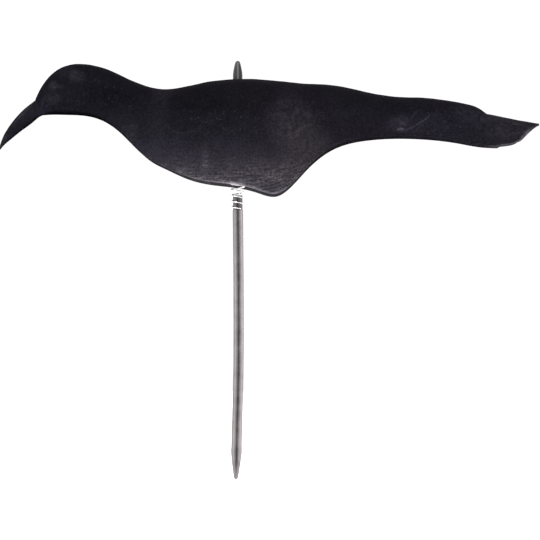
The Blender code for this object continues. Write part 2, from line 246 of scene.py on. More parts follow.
# Moulded and flocked relief on both sides of the shell: (x, z) places along each line.
WING_CREASE = ((131.0, 178.8), (138.3, 180.6), (144.3, 183.0), (149.7, 186.4), (155.7, 190.5), (161.0, 196.2))
WING_CREASE_CORE = ((130.5, 180.4), (133.5, 181.3), (137.0, 181.9))
WING_CREASE_RETURN = ((159.9, 195.6), (153.3, 187.1), (144.9, 178.9), (141.9, 177.2))
SMALL_FOLD = ((142.9, 191.4), (144.9, 193.9), (148.5, 196.6), (152.1, 197.4))
SHOULDER_FOLD = ((-59.2, 184.6), (-53.2, 179.6), (-47.8, 177.0), (-37.6, 178.7), (-28.0, 182.7))
WING_TIP_LINE = ((206.0, 194.8), (211.1, 193.2), (217.7, 190.5), (225.8, 187.9), (233.7, 185.5))
FEATHER_TIP = (
    (222.0, 186.4), (230.4, 186.1), (237.5, 185.0), (241.0, 183.4), (238.3, 180.4), (231.6, 178.3),
    (224.0, 177.6))
# A painted highlight along the upper side of the beak.
BEAK_HIGHLIGHT = ((-173.0, 202.6), (-177.4, 198.6), (-181.7, 193.9), (-185.6, 190.2), (-189.2, 185.2))
BORDER_STREAK = ((-162.4, 207.5), (-163.2, 203.5), (-164.4, 199.8), (-164.7, 196.4))

# Raised lines with their width and height.
RAISED_LINES = (
    (WING_CREASE, 1.3, 0.40), (WING_CREASE_RETURN, 1.2, 0.20), (SMALL_FOLD, 1.3, 0.25),
    (SHOULDER_FOLD, 1.8, 0.30), (WING_TIP_LINE, 1.4, 0.40), (FEATHER_TIP, 1.2, 0.25))
LINE_THINNING = 0.6

# Lumps of the surface with their size, height and seed, and the combed tufts of the low belly.
LUMPS = ((26.0, 0.28, 1), (9.0, 0.10, 2))
TUFTS = (2.6, 0.10, 3)
TUFT_STRETCH = (0.30, 1.0, 1.0)
TUFT_HEIGHTS = (172.0, 140.0)
RELIEF_EDGE_POWER = 14
SEED_SHIFT = (7.3, 3.1, 5.7)
NOISE_GAIN = 1.6

# Each pale line with its width and its change of tone. The beak's is a painted highlight.
PALE_LINES = (
    (WING_CREASE, 0.6, 26.0), (WING_CREASE_CORE, 0.8, 40.0), (WING_CREASE_RETURN, 0.8, 5.0),
    (SMALL_FOLD, 0.9, 11.0), (SHOULDER_FOLD, 1.0, 9.0), (WING_TIP_LINE, 1.0, 10.0), (FEATHER_TIP, 0.8, 10.0),
    (BEAK_HIGHLIGHT, 1.3, 17.0), (BORDER_STREAK, 0.8, 13.0))


def smooth_curve(points):
    """A function through the given (x, value) points with a steady bend, as a thin lath would take."""
    xs, ys = np.array(points, dtype=float).T
    spans = np.diff(xs)
    slopes = np.diff(ys) / spans
    count = len(xs)
    matrix = np.eye(count)
    right = np.zeros(count)
    for i in range(1, count - 1):
        matrix[i, i - 1:i + 2] = (spans[i - 1], 2.0 * (spans[i - 1] + spans[i]), spans[i])
        right[i] = 6.0 * (slopes[i] - slopes[i - 1])
    bends = np.linalg.solve(matrix, right)

    def value(x):
        i = np.clip(np.searchsorted(xs, x) - 1, 0, count - 2)
        ahead = xs[i + 1] - x
        past = x - xs[i]
        span = spans[i]
        line = (ys[i] * ahead + ys[i + 1] * past) / span
        bend = bends[i] * (ahead ** 3 / span - ahead * span)
        bend = bend + bends[i + 1] * (past ** 3 / span - past * span)
        return line + bend / 6.0

    return value


def steady_curve(points):
    """A function through the given (x, value) points that never rises or falls past them."""
    xs, ys = np.array(points, dtype=float).T
    spans = np.diff(xs)
    slopes = np.diff(ys) / spans
    tangents = np.zeros(len(xs))
    tangents[0] = slopes[0]
    tangents[-1] = slopes[-1]
    for i in range(1, len(slopes)):
        before, after = slopes[i - 1], slopes[i]
        if before * after > 0.0:
            tangents[i] = 2.0 * before * after / (before + after)

    def value(x):
        i = np.clip(np.searchsorted(xs, x) - 1, 0, len(spans) - 1)
        u = (x - xs[i]) / spans[i]
        start = ys[i] * (1.0 + 2.0 * u) * (1.0 - u) ** 2 + ys[i + 1] * u * u * (3.0 - 2.0 * u)
        turn = tangents[i] * u * (1.0 - u) ** 2 - tangents[i + 1] * u * u * (1.0 - u)
        return start + spans[i] * turn

    return value


beak_ridge = smooth_curve(BEAK_RIDGE)
back_ridge = smooth_curve(BACK_RIDGE)
tail_ridge = smooth_curve(TAIL_RIDGE)
rim_height = smooth_curve(RIM)
beak_half_width = steady_curve(BEAK_HALF_WIDTH)
body_half_width = steady_curve(HALF_WIDTH)
sweep_angle = steady_curve(SWEEP)
lean_length = steady_curve(LEAN)
bow_offset = smooth_curve(STAKE_BOW)
tone_by_height = steady_curve(TONE_BY_HEIGHT)
blue_by_tone = steady_curve(BLUE_BY_TONE)
rim_tone = steady_curve(RIM_TONE)
inside_tone = steady_curve(INSIDE_TONE)


def smooth_step(value, low, high):
    """0 below low, 1 above high and a soft rise between."""
    share = np.clip((value - low) / (high - low), 0.0, 1.0)
    return share * share * (3.0 - 2.0 * share)


def trailing_run(drop):
    """Share of a backward lean reached at a drop: the tail's end slants, then turns in at its corner."""
    return TRAILING_SLANT * drop ** SLANT_POWER + (1.0 - TRAILING_SLANT) * drop ** CORNER_POWER


def skin(xs, ts):
    """The outer skin's points for ridge places xs and arch shares ts, from -1 at the near rim to 1."""
    behind = np.where(xs <= WING_TIP, back_ridge(xs), tail_ridge(xs))
    top = np.where(xs <= BEAK_END, beak_ridge(xs), behind)
    half = np.where(xs <= BEAK_END, beak_half_width(xs), body_half_width(xs))
    wall = np.minimum(WALL, THIN_WALL_SHARE * half)
    lean = lean_length(xs)
    sweep = np.radians(sweep_angle(xs))[:, None]
    power = 2.0 / SQUARENESS
    bottom = rim_height(xs + lean) + RIM_BEVEL * wall / WALL

    def drop(angle):
        level = np.cos(angle)
        return 1.0 - np.sign(level) * np.abs(level) ** power

    arch = np.abs(ts)[None, :] * sweep
    side = np.sin(arch) ** power
    down = drop(arch) / drop(sweep)
    run = np.where(lean[:, None] > 0.0, down, trailing_run(down))
    points = np.empty((len(xs), len(ts), 3))
    points[..., 0] = xs[:, None] + lean[:, None] * run
    points[..., 1] = np.sign(ts)[None, :] * half[:, None] * side
    points[..., 2] = top[:, None] + (bottom - top)[:, None] * down
    return points, wall


def outward(points, beak_rows):
    """Unit directions out of the skin. The beak and the body meet at a step, so each has its own."""
    directions = np.empty_like(points)
    parts = [slice(beak_rows, None)]
    if beak_rows:
        parts.append(slice(0, beak_rows))
    for part in parts:
        along = np.gradient(points[part], axis=0)
        across = np.gradient(points[part], axis=1)
        cross = np.cross(along, across)
        directions[part] = cross / np.linalg.norm(cross, axis=2, keepdims=True)
    return directions


def line_samples(places, count=60):
    """Closely spaced (x, z) places along a smooth line through the given ones."""
    order = np.arange(len(places), dtype=float)
    steps = np.linspace(0.0, order[-1], count)
    xs = smooth_curve(list(zip(order, [place[0] for place in places])))(steps)
    zs = smooth_curve(list(zip(order, [place[1] for place in places])))(steps)
    return np.stack([xs, zs], axis=1)


def nearness(points, places, width):
    """1 on a line seen from the side, falling to 0 past its width, and thinning out at the line's ends."""
    samples = line_samples(places)
    shares = np.sin(np.linspace(0.0, math.pi, len(samples))) ** LINE_THINNING
    best = np.zeros(points.shape[:-1])
    for (x, z), share in zip(samples, shares):
        gap = (points[..., 0] - x) ** 2 + (points[..., 2] - z) ** 2
        best = np.maximum(best, share * np.exp(-gap / (width * width)))
    return best


def cloudy(points, size, seed):
    """Soft noise from about -1 to 1 at each point, with lumps of the given size."""
    shift = Vector([seed * step for step in SEED_SHIFT])
    flat = points.reshape(-1, 3) / size
    values = [noise.noise(Vector(point) + shift) for point in flat]
    return NOISE_GAIN * np.array(values).reshape(points.shape[:-1])


def relief(points, ts):
    """Height in millimetres that is added to the outer skin."""
    inside = 1.0 - np.abs(ts)[None, :] ** RELIEF_EDGE_POWER
    height = np.zeros(points.shape[:-1])
    for size, rise, seed in LUMPS:
        height += rise * cloudy(points, size, seed)
    size, rise, seed = TUFTS
    low = smooth_step(points[..., 2], *TUFT_HEIGHTS)
    height += rise * low * cloudy(points * np.array(TUFT_STRETCH), size, seed)
    for line, width, rise in RAISED_LINES:
        height += rise * nearness(points, line, width)
    return height * inside


def make_object(name, mesh, materials):
    """A shown piece on the root body, with its materials."""
    obj = bpy.data.objects.new(name, mesh)
    bpy.context.scene.collection.objects.link(obj)
    for material in materials:
        mesh.materials.append(material)
    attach(obj, "root")
    return obj


def shell_rings(xs, ts, inner_ts, beak_rows):
    """Closed rings of points round the shell's wall, one for each section, starting at the near rim."""
    outer, _ = skin(xs, ts)
    outer += relief(outer, ts)[..., None] * outward(outer, beak_rows)
    plain, wall = skin(xs, inner_ts)
    inner = plain - wall[:, None, None] * outward(plain, beak_rows)
    bevel = RIM_BEVEL * wall / WALL
    for side in (0, -1):
        inner[:, side, 2] = outer[:, side, 2] - bevel
    shares = np.arange(1, EDGE_STEPS) / EDGE_STEPS
    far_edge = [outer[:, -1] + (inner[:, -1] - outer[:, -1]) * share for share in shares]
    near_edge = [inner[:, 0] + (outer[:, 0] - inner[:, 0]) * share for share in shares]
    return np.concatenate(
        [outer, np.stack(far_edge, axis=1), inner[:, ::-1], np.stack(near_edge, axis=1)], axis=1)


def shell_faces(rows, count, ts, inner_ts, beak_rows):
    """Faces between the rings and over both ends, each with its material."""
    outer_count = len(ts)
    inner_start = outer_count + EDGE_STEPS - 1
    inner_end = inner_start + len(inner_ts)
    faces = []
    kinds = []
    for i in range(rows - 1):
        for j in range(count):
            k = (j + 1) % count
            faces.append((i * count + j, i * count + k, (i + 1) * count + k, (i + 1) * count + j))
            if j < outer_count - 1:
                kinds.append(BEAK if i < beak_rows - 1 else FLOCK)
            elif inner_start <= j < inner_end - 1:
                kinds.append(INNER_SIDE)
            else:
                kinds.append(CUT_EDGE)
    for row, kind in ((0, BEAK), (rows - 1, CUT_EDGE)):
        base = row * count
        outer_ring = [base + j for j in range(outer_count)]
        inner_ring = [base + j for j in range(inner_start, inner_end)]
        end_cap(faces, kinds, outer_ring, inner_ring[::-1], ts, inner_ts, kind)
    return faces, kinds


def mark_shell(mesh, rings, tones):
    """Writes what the shell's materials read at each vertex: streak place, tint, reflectance and lint."""
    vectors = {"lay": streak_places(rings) * MM, "tint": surface_tint(rings, tones)}
    for name, values in vectors.items():
        attribute = mesh.attributes.new(name, "FLOAT_VECTOR", "POINT")
        attribute.data.foreach_set("vector", values.astype(np.float32).ravel())
    shares = {"reflectance": display_to_linear(tones), "lint": spotted(rings, LINT, LINT_SPOTS)}
    for name, values in shares.items():
        attribute = mesh.attributes.new(name, "FLOAT", "POINT")
        attribute.data.foreach_set("value", values.astype(np.float32).ravel())


def build_shell(materials):
    """The whole shell: flocked outer skin, bare beak, cut edge and inner skin."""
    xs = np.concatenate([np.linspace(start, end, count) for start, end, count in SECTION_RUNS])
    beak_rows = int(np.sum(xs <= BEAK_END))
    ts = np.linspace(-1.0, 1.0, 2 * ARCH_STEPS + 1)
    even = np.linspace(-1.0, 1.0, 2 * INNER_STEPS + 1)
    inner_ts = np.sign(even) * (1.0 - (1.0 - np.abs(even)) ** INNER_CROWDING)
    rings = shell_rings(xs, ts, inner_ts, beak_rows)
    faces, kinds = shell_faces(*rings.shape[:2], ts, inner_ts, beak_rows)
    mesh = bpy.data.meshes.new("crow_body")
    mesh.from_pydata((rings.reshape(-1, 3) * MM).tolist(), [], faces)
    mesh.polygons.foreach_set("material_index", kinds)
    mark_shell(mesh, rings, shell_tone(rings, len(ts), beak_rows))
    obj = make_object("crow_body", mesh, materials)
    orient(mesh)
    cut_pin_hole(obj)
    obj.data.shade_smooth()
    obj.data.set_sharp_from_angle(angle=math.radians(SHARP_ANGLE))
    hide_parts("crow_shell")
    return obj


def end_cap(faces, kinds, outer_ring, inner_ring, outer_ts, inner_ts, kind):
    """Closes an end between a fine outer ring of vertices and a coarser inner one."""
    inner = 0
    for outer in range(len(outer_ring) - 1):
        faces.append((outer_ring[outer], outer_ring[outer + 1], inner_ring[inner]))
        kinds.append(kind)
        while inner + 1 < len(inner_ring) and inner_ts[inner + 1] <= outer_ts[outer + 1] + 1e-9:
            faces.append((outer_ring[outer + 1], inner_ring[inner + 1], inner_ring[inner]))
            kinds.append(kind)
            inner += 1


def orient(mesh):
    """Turns the faces of a closed mesh outwards."""
    bm = bmesh.new()
    bm.from_mesh(mesh)
    bmesh.ops.recalc_face_normals(bm, faces=bm.faces)
    bm.to_mesh(mesh)
    bm.free()


def cut_pin_hole(shell):
    """Cuts the round hole for the pin through the back."""
    mesh = bpy.data.meshes.new("pin_hole_cutter")
    bm = bmesh.new()
    bmesh.ops.create_cone(
        bm, cap_ends=True, segments=HOLE_SIDES, radius1=HOLE_RADIUS * MM, radius2=HOLE_RADIUS * MM,
        depth=CUTTER_LENGTH * MM)
    bmesh.ops.translate(bm, verts=bm.verts, vec=(AXIS_X * MM, 0.0, float(back_ridge(AXIS_X)) * MM))
    bm.to_mesh(mesh)
    bm.free()
    cutter = bpy.data.objects.new("pin_hole_cutter", mesh)
    bpy.context.scene.collection.objects.link(cutter)
    hole = shell.modifiers.new("pin_hole", "BOOLEAN")
    hole.operation = "DIFFERENCE"
    hole.solver = "EXACT"
    hole.object = cutter
    bpy.context.view_layer.update()
    cut = bpy.data.meshes.new_from_object(shell.evaluated_get(bpy.context.evaluated_depsgraph_get()))
    shell.modifiers.clear()
    shell.data = cut
    bpy.data.objects.remove(cutter)


def display_to_linear(tone):
    """Linear reflectance of a display tone from 0 to 255."""
    return ((tone / 255.0 + 0.055) / 1.055) ** 2.4


def soft_spot(points, spot):
    """A soft-edged oval of changed tone, as seen from the side."""
    x, z, half_length, half_height, change = spot
    gap = ((points[..., 0] - x) / half_length) ** 2 + ((points[..., 2] - z) / half_height) ** 2
    return change * np.exp(-gap * gap * SPOT_SHARPNESS)


def spotted(points, base, spots):
    """A base value changed by soft spots."""
    value = np.full(points.shape[:-1], base)
    for spot in spots:
        value += soft_spot(points, spot)
    return value


def flock_tone(points):
    """Display tone of the flocking: dark back and pale belly, partly painted light from below; mottled
    patches of wear, painted light and painted shade; and pale folds.
    """
    size, strength, seed = MOTTLING
    mottling = 1.0 + strength * cloudy(points, size, seed)
    tone = tone_by_height(points[..., 2])
    # Spots of wear, painted light and painted shade.
    for spot in WORN_LIT_AND_SHADED_SPOTS:
        tone = tone + soft_spot(points, spot) * mottling
    for line, width, change in PALE_LINES:
        tone = tone + change * nearness(points, line, width)
    return tone


def shell_tone(rings, outer_count, beak_rows):
    """Display tone of each vertex of the shell: flocking, bare beak, cut edge and inner side."""
    # The cut edge's tone by x, with the painted glint beside the spring on the near rim.
    rim = rim_tone(rings[..., 0]) + soft_spot(rings, SPRING_GLINT) * (rings[..., 1] < 0.0)
    size, strength, seed = RAGGEDNESS
    ragged = 1.0 + strength * cloudy(rings, size, seed)
    tone = rim * (1.0 - RAGGED_SHARE + RAGGED_SHARE * ragged)
    inner_start = outer_count + EDGE_STEPS - 1
    outer = rings[:, :outer_count]
    flock = flock_tone(outer)
    flock[:beak_rows] += BEAK_TONE - tone_by_height(outer[:beak_rows, :, 2])
    # Pale bands along both rims: partly wear, partly painted light from below.
    for edge in (0, -1):
        gap = np.linalg.norm(outer - outer[:, edge, None], axis=2)
        share = RIM_BAND_SHARE * np.exp(-(gap / RIM_BAND) ** 2)
        flock += share * (rim[:, :outer_count] - flock)
    # A pale band along the tail's end: partly wear, partly painted light from below.
    gap = np.linalg.norm(outer - outer[-1], axis=2)
    faded = 1.0 - END_FADE_SHARE * smooth_step(outer[..., 2], *END_FADE)
    share = np.clip(np.exp(-(gap / END_BAND) ** 2) * ragged[:, :outer_count] * faded, 0.0, 1.0)
    flock += share * (END_TONE - flock)
    tone[:, :outer_count] = flock
    # The inner side, with pale bands at its rims: painted light on the far wall seen under the near rim.
    inner = rings[:, inner_start:]
    for edge in (outer_count - 1, 0):
        gap = np.linalg.norm(inner - rings[:, edge, None], axis=2)
        share = np.exp(-(gap / INNER_BAND) ** INNER_BAND_POWER)
        inside = inside_tone(inner[..., 0])
        if edge:
            tone[:, inner_start:] = inside
        tone[:, inner_start:] += share * (rim[:, inner_start:] - inside)
    return np.clip(tone, *TONE_RANGE)


def surface_tint(points, tones):
    """Red, green and blue shares at each point: violet where it is dark and plainer where it is pale."""
    red = spotted(points, RED, RED_SPOTS)
    blue = spotted(points, 0.0, BLUE_SPOTS) + blue_by_tone(tones)
    return np.stack([red, np.ones_like(red), blue], axis=-1)


def streak_places(points):
    """Places in which the flocking's streaks run level: they follow the belly and sweep up behind it."""
    x = points[..., 0]
    past = np.clip(x - STREAK_LIFT_START, 0.0, STREAK_LIFT_RUN)
    beyond = np.clip(x - STREAK_LIFT_START - STREAK_LIFT_RUN, 0.0, None)
    ahead = np.clip(BREAST_LIFT_START - x, 0.0, None)
    level = points[..., 2] - STREAK_BEND * past ** 2 - STREAK_SLOPE * beyond - BREAST_SLOPE * ahead
    return np.stack([x, level, np.sign(points[..., 1]) * SIDE_SHIFT], axis=-1)


class Graph:
    """A material and a short way to add nodes to it. Each call gives back the new node's output."""

    def __init__(self, name, **plain):
        self.material = bpy.data.materials.new(name)
        self.material.use_nodes = True
        self.tree = self.material.node_tree
        self.shader = self.tree.nodes["Principled BSDF"]
        for socket, value in plain.items():
            self.shader.inputs[socket.replace("_", " ")].default_value = value

    def add(self, kind, output, inputs, **settings):
        made = self.tree.nodes.new("ShaderNode" + kind)
        for name, value in settings.items():
            setattr(made, name, value)
        for socket, value in inputs.items():
            self.join(made.inputs[socket], value)
        return made.outputs[output]

    def join(self, socket, value):
        if isinstance(value, bpy.types.NodeSocket):
            self.tree.links.new(value, socket)
        else:
            socket.default_value = value

    def attribute(self, name, output):
        return self.add("Attribute", output, {}, attribute_name=name)

    def place(self):
        return self.add("TexCoord", "Object", {})

    def scaled(self, vector, scale):
        return self.add("Mapping", "Vector", {"Vector": vector, "Scale": scale})

    def noise(self, vector, scale, detail=2.0):
        return self.add("TexNoise", "Fac", {"Vector": vector, "Scale": scale, "Detail": detail})

    def ramp(self, value, low, high, start=0.0, end=1.0):
        return self.add(
            "MapRange", "Result",
            {"Value": value, "From Min": low, "From Max": high, "To Min": start, "To Max": end},
            interpolation_type="SMOOTHSTEP")

    def maths(self, operation, first, second):
        return self.add("Math", "Value", {0: first, 1: second}, operation=operation)

    def mix(self, share, first, second):
        return self.add("Mix", 2, {0: share, 6: first, 7: second}, data_type="RGBA")

    def bump(self, height, distance, strength=1.0):
        return self.add("Bump", "Normal", {"Height": height, "Distance": distance, "Strength": strength})

    def finish(self, colour=None, roughness=None, normal=None):
        for socket, value in (("Base Color", colour), ("Roughness", roughness), ("Normal", normal)):
            if value is not None:
                self.join(self.shader.inputs[socket], value)
        return self.material


def colour(red, green, blue):
    return (red, green, blue, 1.0)


def tinted(graph, level):
    """A colour of the given level in the surface's own tint."""
    tint = graph.attribute("tint", "Vector")
    return graph.add("VectorMath", "Vector", {0: tint, "Scale": level}, operation="SCALE")


def flock_lint(graph, place):
    """Specks and short hairs of lint, from 0 to 1, thicker where the surface's lint share is high."""
    amount = graph.attribute("lint", "Fac")
    lint = None
    for scale, low, high, near, far in ((430.0, 0.74, 0.84, 0.42, 0.2), (210.0, 0.90, 0.96, 0.24, 0.12)):
        distance = graph.add("TexVoronoi", "Distance", {"Vector": place, "Scale": scale})
        chosen = graph.ramp(graph.add("TexVoronoi", "Color", {"Vector": place, "Scale": scale}), low, high)
        speck = graph.maths("MULTIPLY", graph.ramp(distance, near, far), chosen)
        lint = speck if lint is None else graph.maths("MAXIMUM", lint, speck)
    for scale, patch in ((250.0, 150.0), (180.0, 110.0)):
        wave = graph.maths("ABSOLUTE", graph.maths("SUBTRACT", graph.noise(place, scale, 1.0), 0.5), 0.0)
        where = graph.ramp(graph.noise(place, patch, 1.0), 0.56, 0.62)
        hair = graph.maths("MULTIPLY", graph.ramp(wave, 0.018, 0.006), where)
        lint = graph.maths("MAXIMUM", lint, graph.maths("MULTIPLY", hair, 0.7))
    return graph.maths("MULTIPLY", lint, amount)


def flock_material():
    """Short black flocking: grainy, combed into short streaks where it is pale, with clinging lint."""
    graph = Graph(
        "flock", Roughness=1.0, Specular_IOR_Level=0.0, Sheen_Weight=0.05, Sheen_Roughness=0.35,
        Sheen_Tint=colour(0.95, 0.85, 1.0))
    place = graph.place()
    lay = graph.attribute("lay", "Vector")
    reflectance = graph.attribute("reflectance", "Fac")
    streaky = graph.ramp(reflectance, 0.014, 0.056)

    mottle = graph.ramp(graph.noise(place, 75.0, 3.0), 0.32, 0.68, 0.93, 1.07)
    grain = graph.ramp(graph.noise(place, 620.0, 2.0), 0.3, 0.7, 0.77, 1.25)
    tufts = graph.ramp(graph.noise(place, 580.0, 2.0), 0.3, 0.7, 0.71, 1.36)
    fine = graph.noise(graph.scaled(lay, (100.0, 700.0, 1.0)), 1.0, 3.0)
    broad = graph.noise(graph.scaled(lay, (60.0, 330.0, 1.0)), 1.0, 2.0)
    streaks = graph.maths(
        "MULTIPLY", graph.ramp(fine, 0.36, 0.66, 0.66, 1.43), graph.ramp(broad, 0.36, 0.66, 0.91, 1.10))
    streaks = graph.maths("MULTIPLY", streaks, tufts)
    combed = graph.add("Mix", 0, {0: streaky, 2: 1.0, 3: streaks}, data_type="FLOAT")
    level = graph.maths("MULTIPLY", reflectance, mottle)
    level = graph.maths("MULTIPLY", level, grain)
    level = graph.maths("MULTIPLY", level, combed)
    level = graph.maths("ADD", level, graph.maths("MULTIPLY", flock_lint(graph, place), 0.018))
    shade = tinted(graph, level)
    height = graph.maths("ADD", graph.noise(place, 1300.0, 2.0), graph.maths("MULTIPLY", combed, 0.5))
    return graph.finish(shade, None, graph.bump(height, 0.0003, 0.7))


def bare_material(name, specular, scuff_scale, low, high):
    """Bare black plastic in the tone that the surface gives, cloudy and scuffed."""
    graph = Graph(name, Specular_IOR_Level=specular)
    place = graph.place()
    scuff = graph.ramp(graph.noise(place, scuff_scale, 3.0), 0.3, 0.7, low, high)
    fine = graph.ramp(graph.noise(place, 620.0, 2.0), 0.3, 0.7, 0.8, 1.22)
    worn = graph.maths("MULTIPLY", scuff, fine)
    level = graph.maths("MULTIPLY", graph.attribute("reflectance", "Fac"), worn)
    shade = tinted(graph, level)
    roughness = graph.ramp(graph.noise(place, 500.0, 3.0), 0.3, 0.7, 0.45, 0.65)
    return graph.finish(shade, roughness, graph.bump(graph.noise(place, 420.0, 3.0), 0.0003, 0.5))


def moulded_material(name, groove, crest):
    """Moulded plastic: painted shade in the grooves between the fins, rubbed lengthwise on their crests."""
    graph = Graph(name, Specular_IOR_Level=0.35)
    place = graph.place()
    cloud = graph.ramp(graph.noise(place, 110.0, 3.0), 0.3, 0.7, -0.10, 0.10)
    rubs = graph.noise(graph.scaled(place, (1400.0, 1400.0, 60.0)), 1.0, 3.0)
    rubbed = graph.ramp(rubs, 0.3, 0.7, -0.08, 0.08)
    share = graph.maths("ADD", graph.attribute("crest", "Fac"), graph.maths("ADD", rubbed, cloud))
    base = graph.mix(share, groove, crest)
    grain = graph.noise(place, 1300.0, 3.0)
    return graph.finish(base, graph.ramp(rubs, 0.3, 0.7, 0.38, 0.55), graph.bump(grain, 0.00012, 0.5))


def wire_material():
    """Bright zinc-plated wire, drawn lengthwise and slightly dulled in spots."""
    graph = Graph("zinc_wire", Metallic=1.0)
    place = graph.place()
    spots = graph.ramp(graph.noise(place, 380.0, 3.0), 0.4, 0.75)
    base = graph.mix(spots, colour(0.95, 0.94, 0.94), colour(0.80, 0.78, 0.77))
    return graph.finish(base, graph.ramp(spots, 0.0, 1.0, 0.25, 0.4), graph.bump(spots, 0.00005, 0.4))


def finned_outline(radius):
    """One fin's outline as (along, across) places, from a filleted root round the tip to the other root."""
    half = min(FIN_HALF_THICKNESS, 0.75 * radius)
    rounding = min(FIN_ROUNDING, 0.5 * half, 0.3 * radius)
    fillet = max(0.02, min(FIN_FILLET, 0.25 * (radius - half)))
    tip = radius - rounding
    steps = 4
    points = []
    for i in range(steps):
        angle = math.radians(135.0 - 45.0 * i / (steps - 1))
        points.append((half + fillet + fillet * math.cos(angle), fillet * math.sin(angle) - half - fillet))
    points.append((0.5 * (half + fillet + radius - rounding), -half))
    for i in range(steps + 1):
        angle = math.radians(90.0 * i / steps - 90.0)
        points.append((tip + rounding * math.cos(angle), rounding - half + rounding * math.sin(angle)))
    return points + [(along, -across) for along, across in reversed(points[1:])]


def ring_of_fins(centre_x, z, radius, turn):
    """One level of a four-finned bar."""
    ring = []
    for fin in range(4):
        angle = math.radians(turn + 90.0 * fin)
        for along, across in finned_outline(radius):
            x = centre_x + along * math.cos(angle) - across * math.sin(angle)
            y = along * math.sin(angle) + across * math.cos(angle)
            ring.append((x, y, z))
    return ring


def clean_unshaded_share(z):
    """Share of its paleness that a crest of the stake keeps at a height: less on the neck, which is painted
    shade, and on the point, which is soiled.
    """
    if z > STAKE_SHOULDER:
        return NECK_SHARE
    return 1.0 - POINT_SOIL * smooth_step(STAKE_POINT_START - POINT_SOIL_DROP - z, 0.0, POINT_SOIL_RUN)


def finned_mesh(name, levels, turn, paleness=None):
    """A four-finned bar through (centre x, z, radius) levels, with pale crests and painted shade in the
    grooves and on the side ahead.

    Where paleness is given, it is a function of the height that says how much of it the crests keep.
    """
    rings = [ring_of_fins(x, z, radius, turn) for x, z, radius in levels]
    crests = []
    for ring, (x, z, radius) in zip(rings, levels):
        out = np.hypot(np.array(ring)[:, 0] - x, np.array(ring)[:, 1])
        ahead = (x - np.array(ring)[:, 0]) / radius
        crest = smooth_step(out / radius, GROOVE_DEPTH, CREST_START)
        # Painted shade on the side towards the beak.
        crest *= 1.0 - SHADED_SHARE * smooth_step(ahead, *SHADED_SIDE)
        if paleness is not None:
            crest *= paleness(z)
        crests.append(crest)
    return mesh_of_rings(name, rings, crests)


def mesh_of_rings(name, rings, crests=None):
    """A closed mesh through rings of equal length, capped at both ends."""
    count = len(rings[0])
    points = [point for ring in rings for point in ring]
    faces = []
    for i in range(len(rings) - 1):
        for j in range(count):
            k = (j + 1) % count
            faces.append((i * count + j, i * count + k, (i + 1) * count + k, (i + 1) * count + j))
    for row in (0, len(rings) - 1):
        centre = tuple(np.mean(rings[row], axis=0))
        points.append(centre)
        middle = len(points) - 1
        for j in range(count):
            faces.append((row * count + j, row * count + (j + 1) % count, middle))
    mesh = bpy.data.meshes.new(name)
    mesh.from_pydata((np.array(points) * MM).tolist(), [], faces)
    if crests is not None:
        attribute = mesh.attributes.new("crest", "FLOAT", "POINT")
        values = np.append(np.ravel(crests), (CAP_CREST, CAP_CREST))
        attribute.data.foreach_set("value", values.astype(np.float32))
    orient(mesh)
    mesh.shade_smooth()
    mesh.set_sharp_from_angle(angle=math.radians(SHARP_ANGLE))
    return mesh


def spaced_levels(profile, step):
    """Levels along a (z, radius) profile, with more of them where two levels are far apart."""
    levels = [profile[0]]
    for (z0, r0), (z1, r1) in zip(profile, profile[1:]):
        count = max(1, int(abs(z1 - z0) / step))
        for i in range(1, count + 1):
            share = i / count
            levels.append((z0 + (z1 - z0) * share, r0 + (r1 - r0) * share))
    return levels


def build_stake(material):
    """The ground stake: point, slightly bowed shaft, shoulder and the neck that the spring grips."""
    flare = STAKE_RADIUS + POINT_FLARE
    profile = [
        (STAKE_TIP, 0.5), (STAKE_TIP + 0.25, 0.9), (STAKE_TIP + 0.7, 1.25), (STAKE_TIP + 1.8, 1.8),
        (STAKE_TIP + 12.0, 3.7), (STAKE_POINT_START - 0.6, flare - 0.1), (STAKE_POINT_START + 0.6, flare),
        (STAKE_POINT_START + 3.0, flare), (STAKE_POINT_START + 5.5, STAKE_RADIUS),
        (STAKE_SHOULDER - 0.5, STAKE_RADIUS), (STAKE_SHOULDER - 0.15, STAKE_RADIUS - 0.12),
        (STAKE_SHOULDER, STAKE_RADIUS - 0.4),
        (STAKE_SHOULDER + 0.1, STAKE_NECK_RADIUS), (STAKE_TOP - 0.5, STAKE_NECK_RADIUS),
        (STAKE_TOP, STAKE_NECK_RADIUS - 0.4)]
    levels = [(float(bow_offset(z)), z, radius) for z, radius in spaced_levels(profile, LEVEL_STEP)]
    mesh = finned_mesh("ground_stake", levels, STAKE_TURN, clean_unshaded_share)
    obj = make_object("ground_stake", mesh, [material])
    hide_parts("stake")
    return obj


def inner_top_near_pin(radius):
    """Lowest height of the inner skin within the given distance of the pin's axis."""
    xs = AXIS_X + np.linspace(-radius, radius, 9)
    ts = np.linspace(-0.5, 0.5, 401)
    points, wall = skin(xs, ts)
    inner = points - wall[:, None, None] * outward(points, 0)
    close = np.hypot(inner[..., 0] - AXIS_X, inner[..., 1]) <= radius
    return float(inner[..., 2][close].min())


def nose_radius(share):
    """Radius of the pin's nose, from its start at 0 to its blunt tip at 1."""
    return PIN_RADIUS * (1.0 - NOSE_TAPER * share ** 1.5) * (1.0 - share ** NOSE_BLUNTNESS) ** 0.5


